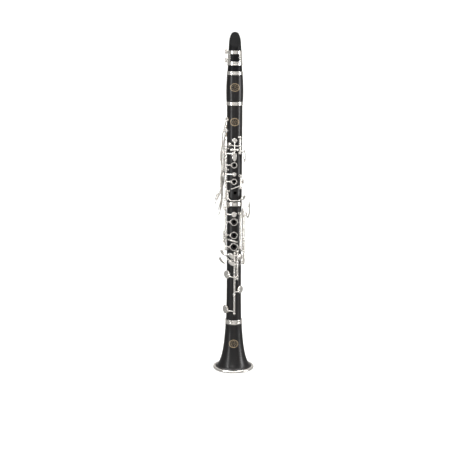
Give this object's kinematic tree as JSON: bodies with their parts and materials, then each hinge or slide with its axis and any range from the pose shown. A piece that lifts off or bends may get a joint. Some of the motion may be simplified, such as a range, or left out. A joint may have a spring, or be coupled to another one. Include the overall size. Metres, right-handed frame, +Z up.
{
  "type": "clarinet",
  "caption": "Soprano clarinet standing on its bell: blackwood body in five sections with plated sprung keys, ring keys, pads, reed and ligature.",
  "frame": {"origin": "centre of the bell's rim on the surface it stands on, on the bore axis", "axes": "+Z up the bore to the mouthpiece's tip, -Y towards the finger holes, +X to the right of someone facing the finger holes"},
  "size_m": [0.082, 0.082, 0.67],
  "materials": {
    "blackwood": "polished, fine dark grain",
    "ebonite": "satin black hard rubber",
    "silver_plate": "polished warm silver plate",
    "steel": "turned steel",
    "cork": "matte cork with small dark pores",
    "cane": "satin cane with lengthwise fibres",
    "pad_skin": "matte skin over felt"
  },
  "bodies": {
    "bell": {"bell": "blackwood", "bell_rings": "silver_plate"},
    "lower_joint": {"lower_joint": "blackwood", "lower_tenon_cork": "cork", "lower_socket_ring": "silver_plate", "lower_posts": "silver_plate", "lower_rods": "steel", "thumb_rest": "silver_plate", "thumb_rest_screws": "steel"},
    "upper_joint": {"upper_joint": "blackwood", "upper_tenon_corks": "cork", "upper_posts": "silver_plate", "upper_rods": "steel", "upper_bore_tubes": "silver_plate"},
    "barrel": {"barrel": "blackwood", "barrel_rings": "silver_plate"},
    "mouthpiece": {"mouthpiece": "ebonite", "mouthpiece_cork": "cork", "reed": "cane", "ligature": "silver_plate"},
    "ligature_screw_upper": {"ligature_screw_upper": "silver_plate"},
    "ligature_screw_lower": {"ligature_screw_lower": "silver_plate"},
    "register_key": {"register_key": "silver_plate", "register_pad": "pad_skin"},
    "thumb_ring_key": {"thumb_ring_key": "silver_plate"},
    "first_ring_key": {"first_ring_key": "silver_plate", "first_ring_pad": "pad_skin"},
    "second_ring_key": {"second_ring_key": "silver_plate", "second_ring_pad": "pad_skin"},
    "throat_a_key": {"throat_a_key": "silver_plate", "throat_a_pad": "pad_skin"},
    "throat_g_sharp_key": {"throat_g_sharp_key": "silver_plate", "throat_g_sharp_pad": "pad_skin"},
    "side_key_1": {"side_key_1": "silver_plate", "side_pad_1": "pad_skin"},
    "side_key_2": {"side_key_2": "silver_plate", "side_pad_2": "pad_skin"},
    "side_key_3": {"side_key_3": "silver_plate", "side_pad_3": "pad_skin"},
    "side_key_4": {"side_key_4": "silver_plate", "side_pad_4": "pad_skin"},
    "upper_sliver_key": {"upper_sliver_key": "silver_plate", "upper_sliver_pad": "pad_skin"},
    "cross_c_sharp_key": {"cross_c_sharp_key": "silver_plate", "cross_c_sharp_pad": "pad_skin"},
    "lower_ring_key": {"lower_ring_key": "silver_plate", "lower_ring_pad": "pad_skin"},
    "lower_sliver_key": {"lower_sliver_key": "silver_plate", "lower_sliver_pad": "pad_skin"},
    "right_f_sharp_key": {"right_f_sharp_key": "silver_plate", "right_f_sharp_pad": "pad_skin"},
    "right_e_key": {"right_e_key": "silver_plate", "right_e_pad": "pad_skin"},
    "right_a_flat_key": {"right_a_flat_key": "silver_plate", "right_a_flat_pad": "pad_skin"},
    "right_f_key": {"right_f_key": "silver_plate", "right_f_pad": "pad_skin"},
    "left_e_lever": {"left_e_lever": "silver_plate"},
    "left_f_lever": {"left_f_lever": "silver_plate"},
    "left_f_sharp_lever": {"left_f_sharp_lever": "silver_plate"}
  },
  "joints": [
    {"name": "bell_pull", "type": "slide", "parent": "bell", "child": "lower_joint", "axis": [0, 0, 1], "range_m": [0, 0.022]},
    {"name": "middle_pull", "type": "slide", "parent": "lower_joint", "child": "upper_joint", "axis": [0, 0, 1], "range_m": [0, 0.017]},
    {"name": "barrel_pull", "type": "slide", "parent": "upper_joint", "child": "barrel", "axis": [0, 0, 1], "range_m": [0, 0.017]},
    {"name": "mouthpiece_pull", "type": "slide", "parent": "barrel", "child": "mouthpiece", "axis": [0, 0, 1], "range_m": [0, 0.018]},
    {"name": "ligature_screw_upper_turn", "type": "hinge", "parent": "mouthpiece", "child": "ligature_screw_upper", "pos_m": [0, 0.0154, 0.6324], "axis": [1, 0, 0], "continuous": true},
    {"name": "ligature_screw_lower_turn", "type": "hinge", "parent": "mouthpiece", "child": "ligature_screw_lower", "pos_m": [0, 0.0154, 0.6158], "axis": [1, 0, 0], "continuous": true},
    {"name": "register_key_press", "type": "hinge", "parent": "upper_joint", "child": "register_key", "pos_m": [0, 0.021, 0.47], "axis": [-1, 0, 0], "range_deg": [0, 2.6], "stiffness_Nm_per_rad": 0.02, "springref_deg": -17.19},
    {"name": "thumb_ring_key_press", "type": "hinge", "parent": "upper_joint", "child": "thumb_ring_key", "pos_m": [-0.0135, 0.01609, 0.428], "axis": [0, 0, -1], "range_deg": [0, 4.6], "stiffness_Nm_per_rad": 0.02, "springref_deg": -17.19},
    {"name": "first_ring_key_press", "type": "hinge", "parent": "upper_joint", "child": "first_ring_key", "pos_m": [-0.017, -0.012, 0.425], "axis": [0, 0, 1], "range_deg": [0, 4], "stiffness_Nm_per_rad": 0.02, "springref_deg": -17.19},
    {"name": "second_ring_key_press", "type": "hinge", "parent": "upper_joint", "child": "second_ring_key", "pos_m": [-0.017, -0.012, 0.375], "axis": [0, 0, 1], "range_deg": [0, 4], "stiffness_Nm_per_rad": 0.02, "springref_deg": -17.19},
    {"name": "throat_a_key_press", "type": "hinge", "parent": "upper_joint", "child": "throat_a_key", "pos_m": [0, -0.0212, 0.445], "axis": [1, 0, 0], "range_deg": [0, 5], "stiffness_Nm_per_rad": 0.02, "springref_deg": -17.19},
    {"name": "throat_g_sharp_key_press", "type": "hinge", "parent": "upper_joint", "child": "throat_g_sharp_key", "pos_m": [0.01089, -0.01677, 0.453], "axis": [0, 0, 1], "range_deg": [0, 5], "stiffness_Nm_per_rad": 0.02, "springref_deg": -17.19},
    {"name": "side_key_1_press", "type": "hinge", "parent": "upper_joint", "child": "side_key_1", "pos_m": [-0.0205, -0.006, 0.481], "axis": [0, -1, 0], "range_deg": [0, 2], "stiffness_Nm_per_rad": 0.03, "springref_deg": -17.19},
    {"name": "side_key_2_press", "type": "hinge", "parent": "upper_joint", "child": "side_key_2", "pos_m": [-0.0185, 0.0134, 0.462], "axis": [0, -1, 0], "range_deg": [0, 1.9], "stiffness_Nm_per_rad": 0.03, "springref_deg": -17.19},
    {"name": "side_key_3_press", "type": "hinge", "parent": "upper_joint", "child": "side_key_3", "pos_m": [-0.02, 0.0032, 0.45], "axis": [0, -1, 0], "range_deg": [0, 2], "stiffness_Nm_per_rad": 0.03, "springref_deg": -17.19},
    {"name": "side_key_4_press", "type": "hinge", "parent": "upper_joint", "child": "side_key_4", "pos_m": [-0.02, 0.0066, 0.405], "axis": [0, -1, 0], "range_deg": [0, 2.4], "stiffness_Nm_per_rad": 0.03, "springref_deg": -17.19},
    {"name": "upper_sliver_key_press", "type": "hinge", "parent": "upper_joint", "child": "upper_sliver_key", "pos_m": [0.01286, -0.01532, 0.381], "axis": [0, 0, -1], "range_deg": [0, 4], "stiffness_Nm_per_rad": 0.02, "springref_deg": -17.19},
    {"name": "cross_c_sharp_key_press", "type": "hinge", "parent": "upper_joint", "child": "cross_c_sharp_key", "pos_m": [-0.01338, -0.01486, 0.354], "axis": [0, 0, 1], "range_deg": [0, 4], "stiffness_Nm_per_rad": 0.02, "springref_deg": -17.19},
    {"name": "lower_ring_key_press", "type": "hinge", "parent": "lower_joint", "child": "lower_ring_key", "pos_m": [-0.017, -0.012, 0.287], "axis": [0, 0, 1], "range_deg": [0, 4], "stiffness_Nm_per_rad": 0.02, "springref_deg": -17.19},
    {"name": "lower_sliver_key_press", "type": "hinge", "parent": "lower_joint", "child": "lower_sliver_key", "pos_m": [-0.02032, -0.00178, 0.27], "axis": [0, 0, 1], "range_deg": [0, 4], "stiffness_Nm_per_rad": 0.02, "springref_deg": -17.19},
    {"name": "right_f_sharp_key_press", "type": "hinge", "parent": "lower_joint", "child": "right_f_sharp_key", "pos_m": [0.001, -0.0202, 0.19], "axis": [0, 0, -1], "range_deg": [0, 5], "stiffness_Nm_per_rad": 0.02, "springref_deg": -17.19},
    {"name": "right_e_key_press", "type": "hinge", "parent": "lower_joint", "child": "right_e_key", "pos_m": [0.001, -0.0202, 0.18], "axis": [0, 0, -1], "range_deg": [0, 5], "stiffness_Nm_per_rad": 0.02, "springref_deg": -17.19},
    {"name": "right_a_flat_key_press", "type": "hinge", "parent": "lower_joint", "child": "right_a_flat_key", "pos_m": [0.0066, -0.0194, 0.235], "axis": [0, 0, -1], "range_deg": [0, 7], "stiffness_Nm_per_rad": 0.02, "springref_deg": -17.19},
    {"name": "right_f_key_press", "type": "hinge", "parent": "lower_joint", "child": "right_f_key", "pos_m": [0.0066, -0.0194, 0.204], "axis": [0, 0, -1], "range_deg": [0, 5], "stiffness_Nm_per_rad": 0.02, "springref_deg": -17.19},
    {"name": "left_e_lever_press", "type": "hinge", "parent": "lower_joint", "child": "left_e_lever", "pos_m": [0.01228, -0.01629, 0.285], "axis": [0, 0, 1], "range_deg": [0, 7], "stiffness_Nm_per_rad": 0.02, "springref_deg": -17.19},
    {"name": "left_f_lever_press", "type": "hinge", "parent": "lower_joint", "child": "left_f_lever", "pos_m": [0.01711, -0.01111, 0.281], "axis": [0, 0, 1], "range_deg": [0, 7], "stiffness_Nm_per_rad": 0.02, "springref_deg": -17.19},
    {"name": "left_f_sharp_lever_press", "type": "hinge", "parent": "lower_joint", "child": "left_f_sharp_lever", "pos_m": [0.01988, -0.00459, 0.268], "axis": [0, 0, 1], "range_deg": [0, 7], "stiffness_Nm_per_rad": 0.02, "springref_deg": -17.19}
  ],
  "couplings": [
    {"joint": "first_ring_key_press", "follows": "thumb_ring_key_press", "ratio": 0.8695},
    {"joint": "second_ring_key_press", "follows": "lower_ring_key_press", "ratio": 1},
    {"joint": "left_e_lever_press", "follows": "right_e_key_press", "ratio": 1.4},
    {"joint": "left_f_lever_press", "follows": "right_f_key_press", "ratio": 1.4},
    {"joint": "left_f_sharp_lever_press", "follows": "right_f_sharp_key_press", "ratio": 1.4}
  ]
}
